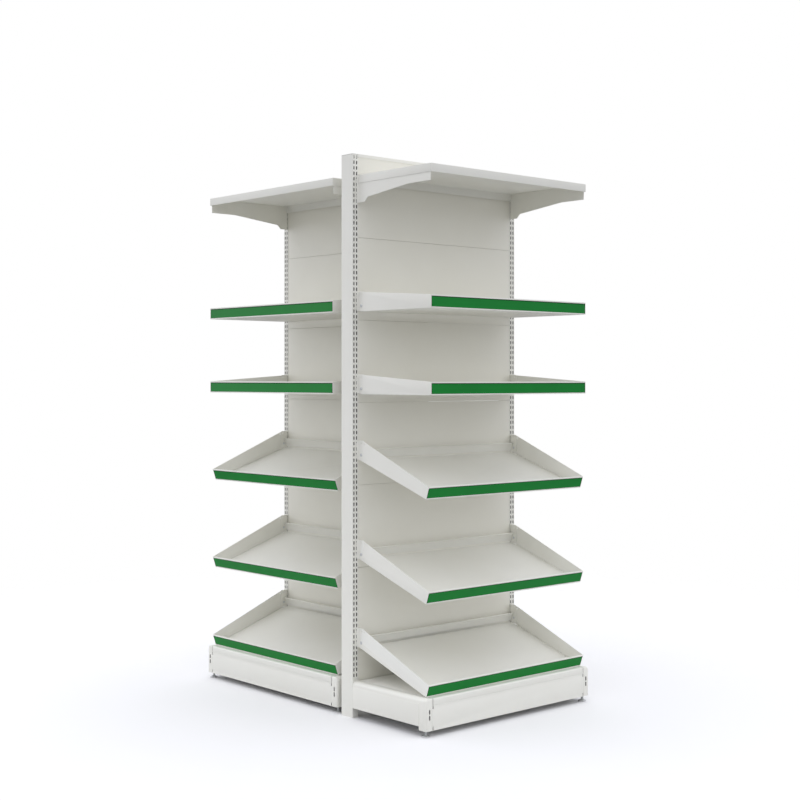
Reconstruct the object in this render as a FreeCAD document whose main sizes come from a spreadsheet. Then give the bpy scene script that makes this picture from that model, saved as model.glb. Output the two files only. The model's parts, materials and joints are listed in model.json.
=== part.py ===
"""Gondola shelving unit: a one-bay double-sided run with a single-sided end unit across its end.

Every face (end, front and rear) carries the same set: a plain top shelf on two brackets, two flat
trays, three trays tilted forwards, a base deck, a kick plate, two base legs and levelling feet.
Each piece is drawn once in the frame of a face and placed on the faces that use it:
x runs outwards from the uprights' slotted face, y across the bay from its outer edge, z up.
"""
import FreeCAD
import Part
import Sketcher
import math
import os
import re

SIZES = {
    # whole unit
    "upright_height": 2250,
    "bay_width": 930,
    "shelf_depth": 435,
    "unit_gap": 25,
    # uprights and their slots
    "upright_width": 30,
    "upright_depth": 70,
    "upright_wall": 2,
    "upright_round": 2,
    "cap_thickness": 3,
    "plug_length": 14,
    "slot_pitch": 22,
    "slot_length": 15,
    "slot_width": 6,
    "slot_rows": 95,
    "first_slot": 169,
    "outer_column": 8,
    "inner_column": 22,
    # back panels and rails
    "panel_pitch": 330,
    "panel_gap": 1,
    "panel_first_seam": 267,
    "panel_low_height": 220,
    "panel_count": 6,
    "panel_recess": 2,
    "panel_flange": 14,
    "side_clearance": 0.3,
    "rail_height": 40,
    "rail_front": 20,
    "rail_back": 50,
    "rail_wall": 1.5,
    "top_rail_lip": 12,
    "top_rail_inset": 0.4,
    # sheet metal
    "thin_sheet": 1.2,
    "shelf_sheet": 1.5,
    "plate_sheet": 2,
    # trays
    "tray_inset": 25,
    "tray_front": 50,
    "tray_back": 77,
    "tray_rear_edge": 10,
    "curl_low": 4,
    "curl_high": 5,
    "strip_thickness": 1.5,
    "rear_rail_x": 12,
    "rear_rail_low": 6,
    "rear_rail_high": 42,
    "rear_rail_hem": 7,
    "floor_start": 21,
    "tray_tilt": 18.7,
    "pivot_out": 24,
    "pivot_up": 22,
    "pivot_radius": 4,
    "running_gap": 0.05,
    "lock_out": 28,
    "lock_up": 69,
    "lock_radius": 2.5,
    "rivet_head_radius": 6.5,
    "rivet_head_height": 2.2,
    "rivet_tail_radius": 5.5,
    "rivet_tail_height": 1.2,
    "level_one": 1620,
    "level_two": 1290,
    "level_three": 1026,
    "level_four": 630,
    "level_five": 278,
    # hook brackets
    "hook_reach": 6,
    "hook_drop": 5,
    "hook_gap": 0.3,
    "neck_height": 8.2,
    "joggle_start": 1,
    "joggle_end": 5.2,
    "bracket_inset": 27,
    "bracket_out": 40,
    "bracket_low": 3,
    "bracket_high": 79,
    "corner_cut": 4,
    "tray_hook_low": 23,
    "tray_hook_high": 67,
    "notch_out": 50,
    "notch_inset": 30.5,
    # top shelf
    "top_shelf_level": 2165,
    "top_shelf_lip": 32,
    "top_shelf_start": 6,
    "shelf_bracket_out": 427,
    "shelf_bracket_tip": 64,
    "shelf_bracket_root": 110,
    "shelf_bracket_seat": 42,
    "shelf_bracket_step": 18,
    "shelf_bracket_sweep": 260,
    "seat_round": 8,
    "step_round": 14,
    "sweep_round": 220,
    "shelf_hook_low": 2083,
    "shelf_hook_high": 2149,
    # base
    "deck_level": 146.5,
    "deck_lip": 25.5,
    "deck_inset": 38,
    "base_front": 431,
    "edge_round": 6,
    "shoulder_round": 16,
    "post_round": 9,
    "leg_face": 1.5,
    "leg_inset": 35,
    "leg_low": 25,
    "leg_rise": 40,
    "post_back": 390,
    "leg_slot_inset": 19.5,
    "leg_slot_level": 75,
    "leg_slot_length": 18,
    "leg_slot_depth": 9,
    "cover_height": 83,
    "kick_high": 120.5,
    "kick_low": 25,
    "kick_inset": 35.3,
    "kick_flange": 15,
    "kick_notch_width": 4,
    "kick_notch_height": 12,
    "kick_notch_depth": 2,
    "kick_notch_edge": 2,
    # levelling feet
    "foot_out": 410,
    "foot_inset": 19,
    "foot_radius": 17,
    "foot_disc": 4,
    "foot_cone": 10,
    "stem_radius": 5,
    "stem_top": 62,
    "nut_plate_low": 29,
    "nut_plate_high": 33,
    "nut_plate_gap": 4,
    # connectors between the end unit and the run
    "connector_width": 50,
    "connector_height": 30,
    "connector_sheet": 3,
    "bolt_head_radius": 6.5,
    "bolt_head_height": 3,
}
RAIL_LEVELS = (205, 1150, 2150)
FACES = ("end", "front", "rear")
LEVELS = ("level_one", "level_two", "level_three", "level_four", "level_five")
TILTED = ("level_three", "level_four", "level_five")

document = FreeCAD.newDocument("gondola_shelving_unit")
sheet = document.addObject("Spreadsheet::Sheet", "Sizes")
for row, (alias, value) in enumerate(SIZES.items(), start=1):
    sheet.set("A%d" % row, alias)
    sheet.set("B%d" % row, str(value))
    sheet.setAlias("B%d" % row, alias)
document.recompute()

ALIAS = re.compile(r"\b(" + "|".join(sorted(SIZES, key=len, reverse=True)) + r")\b")


def linked(formula):
    """A formula in plain alias names, as an expression on the spreadsheet."""
    return ALIAS.sub(r"Sizes.\1", str(formula))


def bind(item, prop, formula):
    item.setExpression(prop, linked(formula))


def number(formula):
    """The value of a formula in millimetres or degrees."""
    return float(sheet.evalExpression(linked(formula)))


def box(name, x, y, z):
    """A block from three (low, high) pairs of formulas."""
    block = document.addObject("Part::Box", name)
    for prop, axis, (low, high) in zip(("Length", "Width", "Height"), "xyz", (x, y, z)):
        bind(block, prop, "(%s) - (%s)" % (high, low))
        bind(block, "Placement.Base." + axis, low)
    return block


def pin(name, x, z, y, radius):
    """A round bar along y between a (low, high) pair of formulas."""
    bar = document.addObject("Part::Cylinder", name)
    bar.Placement.Rotation = FreeCAD.Rotation(FreeCAD.Vector(1, 0, 0), -90)
    bind(bar, "Radius", radius)
    bind(bar, "Height", "(%s) - (%s)" % (y[1], y[0]))
    for axis, formula in zip("xyz", (x, y[0], z)):
        bind(bar, "Placement.Base." + axis, formula)
    return bar


def outline(body, role, points, offset):
    """A closed sketch on one of the body's own planes; its corners are pairs of formulas."""
    sketch = body.newObject("Sketcher::SketchObject", body.Name + "_outline")
    plane = [item for item in body.Origin.OriginFeatures if item.Role == role][0]
    sketch.AttachmentSupport = [(plane, "")]
    sketch.MapMode = "FlatFace"
    bind(sketch, ".AttachmentOffset.Base.z", offset)
    values = [(number(across), number(up)) for across, up in points]
    corners = [FreeCAD.Vector(across, up, 0) for across, up in values]
    for start, end in zip(corners, corners[1:] + corners[:1]):
        sketch.addGeometry(Part.LineSegment(start, end), False)
    for index in range(len(points)):
        after = (index + 1) % len(points)
        sketch.addConstraint(Sketcher.Constraint("Coincident", index, 2, after, 1))
    for index, pair in enumerate(points):
        for kind, formula, value in zip(("DistanceX", "DistanceY"), pair, values[index]):
            place = sketch.addConstraint(Sketcher.Constraint(kind, -1, 1, index, 1, value))
            bind(sketch, "Constraints[%d]" % place, formula)
    return sketch


def side_piece(name, points, y):
    """A body whose (x, z) outline is padded across the bay, between a (low, high) pair."""
    body = document.addObject("PartDesign::Body", name)
    pad = body.newObject("PartDesign::Pad", name + "_pad")
    pad.Profile = outline(body, "XZ_Plane", points, "-(%s)" % y[1])
    bind(pad, "Length", "(%s) - (%s)" % (y[1], y[0]))
    body.Tip = pad
    return body


def plan_piece(name, points, z):
    """A body whose (x, y) outline is padded upwards, between a (low, high) pair."""
    body = document.addObject("PartDesign::Body", name)
    pad = body.newObject("PartDesign::Pad", name + "_pad")
    pad.Profile = outline(body, "XY_Plane", points, z[0])
    bind(pad, "Length", "(%s) - (%s)" % (z[1], z[0]))
    body.Tip = pad
    return body


def group(name, items):
    """Several solids kept apart in one object."""
    bundle = document.addObject("Part::Compound", name)
    bundle.Links = items
    return bundle


def cut(name, base, tools):
    removed = document.addObject("Part::Cut", name)
    removed.Base = base
    removed.Tool = tools[0] if len(tools) == 1 else group(name + "_tools", tools)
    return removed


def common(name, first, second):
    shared = document.addObject("Part::Common", name)
    shared.Base = first
    shared.Tool = second
    return shared


def far_side(item):
    """The same piece for the bay's other end, mirrored about the bay's middle."""
    twin = document.addObject("Part::Mirroring", item.Name + "_far")
    twin.Source = item
    twin.Normal = FreeCAD.Vector(0, 1, 0)
    bind(twin, "Base.y", "bay_width / 2")
    return twin


def both_sides(item):
    return [item, far_side(item)]


def rounded(name, item, choices):
    """Rounds straight edges: each choice is a test on an edge's two ends, and a radius."""
    document.recompute()
    fillet = document.addObject("Part::Fillet", name)
    fillet.Base = item
    edges = []
    for index, edge in enumerate(item.Shape.Edges, start=1):
        ends = [vertex.Point for vertex in edge.Vertexes]
        for test, size in choices:
            if all(test(point) for point in ends):
                edges.append((index, number(size), number(size)))
    fillet.Edges = edges
    return fillet


def near(value, formula):
    return abs(value - number(formula)) < 0.01


# ---------------------------------------------------------------- uprights and back

def slot_bar(name, across, level, x, length="slot_length"):
    """A bar with round ends that cuts one slot, between a (low, high) pair along x."""
    body = document.addObject("PartDesign::Body", name)
    sketch = body.newObject("Sketcher::SketchObject", name + "_outline")
    plane = [item for item in body.Origin.OriginFeatures if item.Role == "YZ_Plane"][0]
    sketch.AttachmentSupport = [(plane, "")]
    sketch.MapMode = "FlatFace"
    bind(sketch, ".AttachmentOffset.Base.z", x[0])
    half = number("slot_width / 2")
    middle = number(across)
    rise = "(%s - slot_width) / 2" % length
    ends = ("(%s) - %s" % (level, rise), "(%s) + %s" % (level, rise))
    low, high = (FreeCAD.Vector(middle, number(end), 0) for end in ends)
    up = FreeCAD.Vector(0, 0, 1)
    side = FreeCAD.Vector(half, 0, 0)
    sketch.addGeometry(Part.ArcOfCircle(Part.Circle(high, up, half), 0, math.pi), False)
    sketch.addGeometry(Part.LineSegment(high - side, low - side), False)
    sketch.addGeometry(Part.ArcOfCircle(Part.Circle(low, up, half), math.pi, 2 * math.pi), False)
    sketch.addGeometry(Part.LineSegment(low + side, high + side), False)
    for first, second in ((0, 1), (1, 2), (2, 3), (3, 0)):
        sketch.addConstraint(Sketcher.Constraint("Tangent", first, 2, second, 1))
    for arc, point, formula in ((0, high, ends[1]), (2, low, ends[0])):
        for kind, value, text in (("DistanceX", middle, across), ("DistanceY", point.y, formula)):
            row = sketch.addConstraint(Sketcher.Constraint(kind, -1, 1, arc, 3, value))
            bind(sketch, "Constraints[%d]" % row, text)
    row = sketch.addConstraint(Sketcher.Constraint("Radius", 0, half))
    bind(sketch, "Constraints[%d]" % row, "slot_width / 2")
    pad = body.newObject("PartDesign::Pad", name + "_pad")
    pad.Profile = sketch
    bind(pad, "Length", "(%s) - (%s)" % (x[1], x[0]))
    body.Tip = pad
    return body


def slot_column(column):
    """One column of slots, as the bars that cut it through both narrow faces."""
    body = slot_bar(column + "_slots", column, "first_slot", ("-upright_depth - 1", "1"))
    document.recompute()
    rows = body.newObject("PartDesign::LinearPattern", column + "_rows")
    rows.Originals = [body.Tip]
    upwards = [item for item in body.Origin.OriginFeatures if item.Role == "Z_Axis"][0]
    rows.Direction = (upwards, [""])
    bind(rows, "Length", "slot_pitch * (slot_rows - 1)")
    bind(rows, "Occurrences", "slot_rows")
    body.Tip = rows
    return body


def upright_corners():
    """The four upright edges of the tube, with their radius."""
    return [(lambda point, x=x, y=y: near(point.x, x) and near(point.y, y), "upright_round")
            for x in ("0", "-upright_depth") for y in ("0", "upright_width")]


def make_upright():
    """A rectangular tube with two columns of slots in each narrow face."""
    top = "upright_height - cap_thickness"
    tube = box("upright_tube", ("-upright_depth", "0"), ("0", "upright_width"), ("0", top))
    outer = rounded("upright_outer", tube, upright_corners())
    bore = box("upright_bore", ("-upright_depth + upright_wall", "-upright_wall"),
               ("upright_wall", "upright_width - upright_wall"), ("-1", "upright_height"))
    columns = [slot_column(column) for column in ("outer_column", "inner_column")]
    return cut("upright_slotted", outer, [bore] + columns)


def make_upright_cap():
    """A flat plastic cap whose plug fits inside the tube."""
    under = "upright_height - cap_thickness"
    plate = box("cap_plate", ("-upright_depth", "0"), ("0", "upright_width"),
                (under, "upright_height"))
    wall = "upright_wall + side_clearance"
    plug = box("cap_plug", ("-upright_depth + " + wall, "-(%s)" % wall),
               (wall, "upright_width - (%s)" % wall), (under + " - plug_length", under))
    cap = document.addObject("Part::Fuse", "cap_solid")
    cap.Base = plate
    cap.Tool = plug
    return rounded("cap_rounded", cap, upright_corners())


def make_panel(name, low, high):
    """One back panel: a sheet with a flange folded back along each side."""
    front = "-panel_recess"
    back = "-panel_recess - panel_flange"
    across = ("upright_width + side_clearance", "bay_width - upright_width - side_clearance")
    blank = box(name + "_blank", (back, front), across, (low, high))
    inside = box(name + "_inside", (back + " - 1", front + " - thin_sheet"),
                 (across[0] + " + thin_sheet", across[1] + " - thin_sheet"),
                 (low + " + thin_sheet", high + " - thin_sheet"))
    return cut(name, blank, [inside])


def make_panels():
    """A low panel behind the deck and six full ones above it."""
    seam = "panel_first_seam"
    panels = [make_panel("low_panel", seam + " - panel_low_height", seam + " - panel_gap")]
    for index in range(int(number("panel_count"))):
        low = "panel_first_seam + panel_pitch * %d" % index
        panels.append(make_panel("panel_%d" % (index + 1), low, low + " + panel_pitch - panel_gap"))
    return panels


def make_rails():
    """Three square cross tubes and the channel that closes the top of the back."""
    across = ("upright_width", "bay_width - upright_width")
    rails = []
    for index, level in enumerate(RAIL_LEVELS, start=1):
        low = "%s - rail_height / 2" % level
        high = "%s + rail_height / 2" % level
        tube = box("rail_%d_tube" % index, ("-rail_back", "-rail_front"), across, (low, high))
        bore = box("rail_%d_bore" % index, ("-rail_back + rail_wall", "-rail_front - rail_wall"),
                   ("0", "bay_width"), (low + " + rail_wall", high + " - rail_wall"))
        rails.append(cut("rail_%d" % index, tube, [bore]))
    lip = "panel_recess - side_clearance"
    across = ("upright_width + side_clearance", "bay_width - upright_width - side_clearance")
    outer = box("top_rail_outer", ("-upright_depth + top_rail_inset", "-top_rail_inset"), across,
                ("upright_height - top_rail_lip", "upright_height"))
    inner = box("top_rail_inner", ("-upright_depth + %s" % lip, "-(%s)" % lip),
                ("0", "bay_width"), ("0", "upright_height - shelf_sheet"))
    rails.append(cut("top_rail", outer, [inner]))
    return rails


# ---------------------------------------------------------------- trays

def make_tray():
    """A folded pan with a channelled front lip, a rear rail and two welded side plates."""
    front = "shelf_depth"
    curl = "shelf_depth - thin_sheet"
    web = "shelf_depth - 2 * thin_sheet - strip_thickness - side_clearance"
    face = "shelf_depth - thin_sheet - strip_thickness - side_clearance"
    sole = "thin_sheet"
    points = [
        ("floor_start", "0"), (front, "0"), (front, "curl_low"), (curl, "curl_low"),
        (curl, sole), (face, sole), (face, "tray_front - thin_sheet"),
        (curl, "tray_front - thin_sheet"), (curl, "tray_front - curl_high"),
        (front, "tray_front - curl_high"), (front, "tray_front"), (web, "tray_front"),
        (web, sole), ("floor_start", sole),
    ]
    inner = "tray_inset + shelf_sheet"
    pan = side_piece("pan_sheet", points, (inner, "bay_width - (%s)" % inner))
    notches = both_sides(box("pan_notch", ("0", "notch_out"), (inner + " - 1", "notch_inset"),
                             ("-1", "tray_back")))
    pan = cut("pan", pan, notches)
    rail_face = "rear_rail_x + thin_sheet"
    points = [
        ("rear_rail_x", "rear_rail_low"), (rail_face, "rear_rail_low"),
        (rail_face, "rear_rail_high - thin_sheet"),
        ("rear_rail_x + rear_rail_hem", "rear_rail_high - thin_sheet"),
        ("rear_rail_x + rear_rail_hem", "rear_rail_high"), ("rear_rail_x", "rear_rail_high"),
    ]
    rail = side_piece("rear_rail", points, ("notch_inset", "bay_width - notch_inset"))
    return [pan, rail] + both_sides(make_side_plate())


def make_side_plate():
    """The tapered end of a tray, with its pivot hole and a lock hole for either position."""
    nose = "shelf_depth - thin_sheet"
    points = [
        ("tray_rear_edge", "2.5 * corner_cut"), ("tray_rear_edge + 2 * corner_cut", "0"),
        (nose + " - corner_cut / 2", "0"), (nose, "corner_cut / 2"), (nose, "tray_front"),
        ("lock_out + corner_cut", "tray_back"), ("tray_rear_edge + corner_cut", "tray_back"),
        ("tray_rear_edge", "tray_back - corner_cut"),
    ]
    span = ("tray_inset", "tray_inset + shelf_sheet")
    drill = ("tray_inset - 1", "tray_inset + shelf_sheet + 1")
    plate = side_piece("side_plate_sheet", points, span)
    reach = "(lock_out - pivot_out)"
    rise = "(lock_up - pivot_up)"
    turned_out = "pivot_out + %s * cos(tray_tilt) - %s * sin(tray_tilt)" % (reach, rise)
    turned_up = "pivot_up + %s * sin(tray_tilt) + %s * cos(tray_tilt)" % (reach, rise)
    holes = [
        pin("pivot_hole", "pivot_out", "pivot_up", drill, "pivot_radius + running_gap"),
        pin("flat_lock_hole", "lock_out", "lock_up", drill, "lock_radius"),
        pin("tilt_lock_hole", turned_out, turned_up, drill, "lock_radius"),
    ]
    return cut("side_plate", plate, holes)


def make_price_strip():
    """The flat strip that slides into the channel of a tray's front lip."""
    face = "shelf_depth - thin_sheet"
    inner = "tray_inset + shelf_sheet + side_clearance"
    return box("strip_blank", (face + " - strip_thickness - side_clearance / 2",
                               face + " - side_clearance / 2"),
               (inner, "bay_width - (%s)" % inner),
               ("thin_sheet + side_clearance", "tray_front - thin_sheet - side_clearance"))


def hook_outline(low_slot, high_slot):
    """The two hooks behind a bracket's upright edge, from the upper one down."""
    points = []
    wall = "-upright_wall - hook_gap"
    for slot in (high_slot, low_slot):
        sill = "%s - slot_length / 2 + hook_gap" % slot
        crown = sill + " + neck_height"
        toe = sill + " - hook_drop"
        points += [("hook_gap", crown), ("-hook_reach", crown), ("-hook_reach", toe),
                   (wall, toe), (wall, sill), ("hook_gap", sill)]
    return points


def joggled(name, side, reach):
    """A hooked plate, offset sideways in front of the upright to stand inside a shelf's end."""
    blade = "inner_column - plate_sheet / 2"
    points = [
        ("-hook_reach - 1", blade), ("joggle_start", blade), ("joggle_end", "bracket_inset"),
        (reach + " + 1", "bracket_inset"), (reach + " + 1", "bracket_inset + plate_sheet"),
        ("joggle_end - 1", "bracket_inset + plate_sheet"),
        ("joggle_start - 1", blade + " + plate_sheet"),
        ("-hook_reach - 1", blade + " + plate_sheet"),
    ]
    plan = plan_piece(name + "_plan", points, ("-1", "upright_height"))
    return common(name, plan, side)


def make_tray_bracket():
    """The fixed bracket behind a tray's side plate, hooked into two slots."""
    points = [
        ("hook_gap", "bracket_low"), ("bracket_out - corner_cut", "bracket_low"),
        ("bracket_out", "bracket_low + corner_cut"),
        ("bracket_out", "bracket_high - corner_cut"),
        ("bracket_out - corner_cut", "bracket_high"), ("hook_gap", "bracket_high"),
    ] + hook_outline("tray_hook_low", "tray_hook_high")
    side = side_piece("tray_bracket_side", points, ("0", "2 * bracket_inset"))
    blank = joggled("tray_bracket_blank", side, "bracket_out")
    drill = ("bracket_inset - 1", "bracket_inset + plate_sheet + 1")
    holes = [pin("rivet_seat", "pivot_out", "pivot_up", drill, "pivot_radius"),
             pin("bracket_lock_hole", "lock_out", "lock_up", drill, "lock_radius")]
    return cut("tray_bracket", blank, holes)


def make_pivot_rivet():
    """A shouldered rivet: its head outside the side plate, its tail closed on the bracket."""
    body = document.addObject("PartDesign::Body", "pivot_rivet")
    turn = body.newObject("PartDesign::Revolution", "pivot_rivet_turn")
    head = "tray_inset - side_clearance"
    tail = "bracket_inset + plate_sheet"
    points = [
        ("0", head + " - rivet_head_height"),
        ("0.6 * rivet_head_radius", head + " - 0.9 * rivet_head_height"),
        ("0.92 * rivet_head_radius", head + " - 0.45 * rivet_head_height"),
        ("rivet_head_radius", head), ("pivot_radius", head), ("pivot_radius", tail),
        ("rivet_tail_radius", tail), ("0.9 * rivet_tail_radius", tail + " + rivet_tail_height"),
        ("0", tail + " + rivet_tail_height"),
    ]
    turn.Profile = outline(body, "XY_Plane", points, "0")
    axis = [item for item in body.Origin.OriginFeatures if item.Role == "Y_Axis"][0]
    turn.ReferenceAxis = (axis, [""])
    turn.Angle = 360
    body.Tip = turn
    bind(body, "Placement.Base.x", "pivot_out")
    bind(body, "Placement.Base.z", "pivot_up")
    return body


# ---------------------------------------------------------------- top shelf

def make_top_shelf():
    """A plain folded shelf, open below, notched at the back for its two brackets."""
    under = "top_shelf_level - top_shelf_lip"
    across = ("tray_inset", "bay_width - tray_inset")
    blank = box("top_shelf_blank", ("top_shelf_start", "shelf_depth"), across,
                (under, "top_shelf_level"))
    edges = [(lambda point: near(point.x, "shelf_depth") and near(point.z, "top_shelf_level"),
              "shelf_sheet")]
    outer = rounded("top_shelf_outer", blank, edges)
    wall = "shelf_sheet"
    inside = box("top_shelf_inside", ("top_shelf_start + " + wall, "shelf_depth - " + wall),
                 (across[0] + " + " + wall, across[1] + " - " + wall),
                 (under + " - 1", "top_shelf_level - " + wall))
    notches = both_sides(box("top_shelf_notch", ("0", "top_shelf_start + 2 * shelf_sheet"),
                             ("bracket_inset - hook_gap", "bracket_inset + plate_sheet + hook_gap"),
                             (under + " - 1", "top_shelf_level - " + wall)))
    return cut("top_shelf", outer, [inside] + notches)


def make_top_bracket():
    """The long bracket under the top shelf, shallow at its tip, with a sweeping lower edge."""
    top = "top_shelf_level - shelf_sheet"
    low = "top_shelf_level - shelf_bracket_root"
    tip = "top_shelf_level - shelf_bracket_tip"
    seat = ("shelf_bracket_seat", low)
    step = ("shelf_bracket_seat + shelf_bracket_step", low + " + shelf_bracket_step")
    sweep = ("shelf_bracket_seat + shelf_bracket_sweep", tip)
    points = [
        ("hook_gap", low), seat, step, sweep,
        ("shelf_bracket_out", tip), ("shelf_bracket_out", top), ("hook_gap", top),
    ] + hook_outline("shelf_hook_low", "shelf_hook_high")
    blank = side_piece("top_bracket_blank", points, ("0", "2 * bracket_inset"))
    corners = [(lambda point, at=at: near(point.x, at[0]) and near(point.z, at[1]), size)
               for at, size in ((seat, "seat_round"), (step, "step_round"), (sweep, "sweep_round"))]
    return joggled("top_bracket", rounded("top_bracket_side", blank, corners),
                   "shelf_bracket_out")


# ---------------------------------------------------------------- base

def make_leg():
    """The folded end of the base: side, rounded shoulder and slotted front post."""
    blank = box("leg_blank", ("hook_gap", "base_front"), ("leg_face", "leg_inset"),
                ("leg_low", "deck_level"))
    outer = rounded("leg_outer", blank, leg_edges("leg_face", "base_front", "deck_level",
                                                  "shoulder_round", "post_round"))
    wall = "plate_sheet"
    hollow = box("leg_hollow", ("-1", "base_front - " + wall),
                 ("leg_face + " + wall, "leg_inset + 1"),
                 ("leg_low - 1", "deck_level - " + wall))
    inner = rounded("leg_inner", hollow,
                    leg_edges("leg_face + " + wall, "base_front - " + wall,
                              "deck_level - " + wall, "shoulder_round - " + wall,
                              "post_round - " + wall))
    arch = box("leg_arch", ("-1", "post_back"), ("0", "leg_inset + 1"),
               ("leg_low - 1", "leg_rise"))
    slots = [slot_bar("leg_slot_%d" % index, "leg_slot_inset",
                      "leg_slot_level + slot_pitch * %d" % index,
                      ("base_front - leg_slot_depth", "base_front + 1"), "leg_slot_length")
             for index in range(2)]
    return cut("leg", outer, [inner, arch] + slots)


def leg_edges(face, front, top, shoulder, post):
    """The shoulder, the post's corner and the front edge of a leg, with their radii."""
    return [
        (lambda point: near(point.y, face) and near(point.z, top), shoulder),
        (lambda point: near(point.y, face) and near(point.x, front), post),
        (lambda point: near(point.x, front) and near(point.z, top), "edge_round"),
    ]


def make_nut_plate():
    """The plate inside the post that the foot's stem is screwed through."""
    plate = box("nut_plate_blank", ("post_back + nut_plate_gap", "base_front - plate_sheet"),
                ("leg_face + plate_sheet", "leg_inset"), ("nut_plate_low", "nut_plate_high"))
    thread = document.addObject("Part::Cylinder", "foot_thread")
    bind(thread, "Radius", "stem_radius + running_gap")
    bind(thread, "Height", "upright_width")
    for axis, formula in zip("xyz", ("foot_out", "foot_inset", "leg_low - foot_cone")):
        bind(thread, "Placement.Base." + axis, formula)
    return cut("nut_plate", plate, [thread])


def make_cover():
    """The flat cover clipped over the side of the base between upright and post."""
    blank = box("cover_blank", ("hook_gap", "post_back"), ("0", "leg_face"),
                ("leg_rise", "leg_rise + cover_height"))
    corner = [(lambda point: near(point.x, "post_back") and near(point.z, "leg_rise + cover_height"),
               "corner_cut")]
    return rounded("cover", blank, corner)


def make_deck():
    """The bottom shelf: a folded sheet with a rounded front edge over the kick plate."""
    under = "deck_level - deck_lip"
    back = "corner_cut"
    sheet_top = "deck_level - thin_sheet"
    points = [
        (back, under), (back + " + thin_sheet", under), (back + " + thin_sheet", sheet_top),
        ("base_front - thin_sheet", sheet_top), ("base_front - thin_sheet", under),
        ("base_front", under), ("base_front", "deck_level"), (back, "deck_level"),
    ]
    blank = side_piece("deck_sheet", points, ("deck_inset", "bay_width - deck_inset"))
    edges = [
        (lambda point: near(point.x, "base_front") and near(point.z, "deck_level"), "edge_round"),
        (lambda point: near(point.x, "base_front - thin_sheet")
         and near(point.z, "deck_level - thin_sheet"), "edge_round - thin_sheet"),
    ]
    return rounded("deck", blank, edges)


def make_kick_plate():
    """The channel that closes the front of the base, notched at its ends for the posts."""
    rear = "base_front - kick_flange"
    points = [
        (rear, "kick_low"), ("base_front", "kick_low"), ("base_front", "kick_high"),
        (rear, "kick_high"), (rear, "kick_high - thin_sheet"),
        ("base_front - thin_sheet", "kick_high - thin_sheet"),
        ("base_front - thin_sheet", "kick_low + thin_sheet"), (rear, "kick_low + thin_sheet"),
    ]
    channel = side_piece("kick_channel", points, ("kick_inset", "bay_width - kick_inset"))
    notches = []
    for place, low in (("low", "kick_low + kick_notch_edge"),
                       ("high", "kick_high - kick_notch_edge - kick_notch_height")):
        notches += both_sides(box("kick_notch_" + place,
                                  ("base_front - kick_notch_depth", "base_front + 1"),
                                  ("kick_inset - 1", "kick_inset + kick_notch_width"),
                                  (low, low + " + kick_notch_height")))
    return cut("kick_plate", channel, notches)


def make_foot():
    """A levelling foot: disc, cone and threaded stem, turned in one piece."""
    body = document.addObject("PartDesign::Body", "foot")
    turn = body.newObject("PartDesign::Revolution", "foot_turn")
    points = [
        ("0", "0"), ("foot_radius - 1", "0"), ("foot_radius", "1"), ("foot_radius", "foot_disc"),
        ("stem_radius + 4", "foot_cone - 1"), ("stem_radius", "foot_cone"),
        ("stem_radius", "stem_top - 1"), ("stem_radius - 1", "stem_top"), ("0", "stem_top"),
    ]
    turn.Profile = outline(body, "XZ_Plane", points, "0")
    axis = [item for item in body.Origin.OriginFeatures if item.Role == "Z_Axis"][0]
    turn.ReferenceAxis = (axis, [""])
    turn.Angle = 360
    body.Tip = turn
    bind(body, "Placement.Base.x", "foot_out")
    bind(body, "Placement.Base.y", "foot_inset")
    return body


# ---------------------------------------------------------------- end unit to run

def make_connectors():
    """Three bolted step brackets from the run's upright to the end unit's cross tubes."""
    middle = "bay_width / 2"
    across = (middle + " - connector_width / 2", middle + " + connector_width / 2")
    run_side = "-upright_depth - unit_gap"
    tube_side = "-rail_back"
    pieces = []
    for index, level in enumerate(RAIL_LEVELS, start=1):
        name = "connector_%d" % index
        low = "%s - connector_height / 2" % level
        high = "%s + connector_height / 2" % level
        block = box(name + "_block", (run_side, tube_side), across, (low, high))
        hollow = box(name + "_hollow",
                     (run_side + " + connector_sheet", tube_side + " - connector_sheet"),
                     across, (low + " - 1", high + " - connector_sheet"))
        pieces.append(cut(name, block, [hollow]))
        for side in (-1, 1):
            pieces.append(make_bolt("%s_bolt_%d" % (name, (side + 3) // 2), level,
                                    "%s + %d * connector_width / 4" % (middle, side)))
    return pieces


def make_bolt(name, level, across):
    """A bolt head inside a step bracket, seated on its upright side."""
    head = document.addObject("Part::Cylinder", name)
    head.Placement.Rotation = FreeCAD.Rotation(FreeCAD.Vector(0, 1, 0), 90)
    bind(head, "Radius", "bolt_head_radius")
    bind(head, "Height", "bolt_head_height")
    bind(head, "Placement.Base.x", "-upright_depth - unit_gap + connector_sheet")
    bind(head, "Placement.Base.y", across)
    bind(head, "Placement.Base.z", "%s - connector_sheet / 2" % level)
    return head


# ---------------------------------------------------------------- assembly

def face_placement(face):
    """Where a face's own frame stands in the unit's frame."""
    half_run = number("bay_width + unit_gap + upright_depth + shelf_depth") / 2
    half_bay = number("bay_width") / 2
    half_depth = number("upright_depth") / 2
    bay = number("bay_width")
    places = {
        "end": (half_run - number("shelf_depth"), -half_bay, 0),
        "front": (-half_run, -half_depth, -90),
        "rear": (-half_run + bay, half_depth, 90),
    }
    x, y, turn = places[face]
    spin = FreeCAD.Rotation(FreeCAD.Vector(0, 0, 1), turn)
    return FreeCAD.Placement(FreeCAD.Vector(x, y, 0), spin)


def tray_placement(level):
    """A tray's place on its face: lifted to its level, and tilted about its pivot."""
    lift = FreeCAD.Placement(FreeCAD.Vector(0, 0, number(level)), FreeCAD.Rotation())
    pivot = FreeCAD.Vector(number("pivot_out"), 0, number("pivot_up"))
    angle = number("tray_tilt") if level in TILTED else 0
    swing = FreeCAD.Rotation(FreeCAD.Vector(0, 1, 0), angle)
    return lift * FreeCAD.Placement(FreeCAD.Vector(), swing, pivot)


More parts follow.
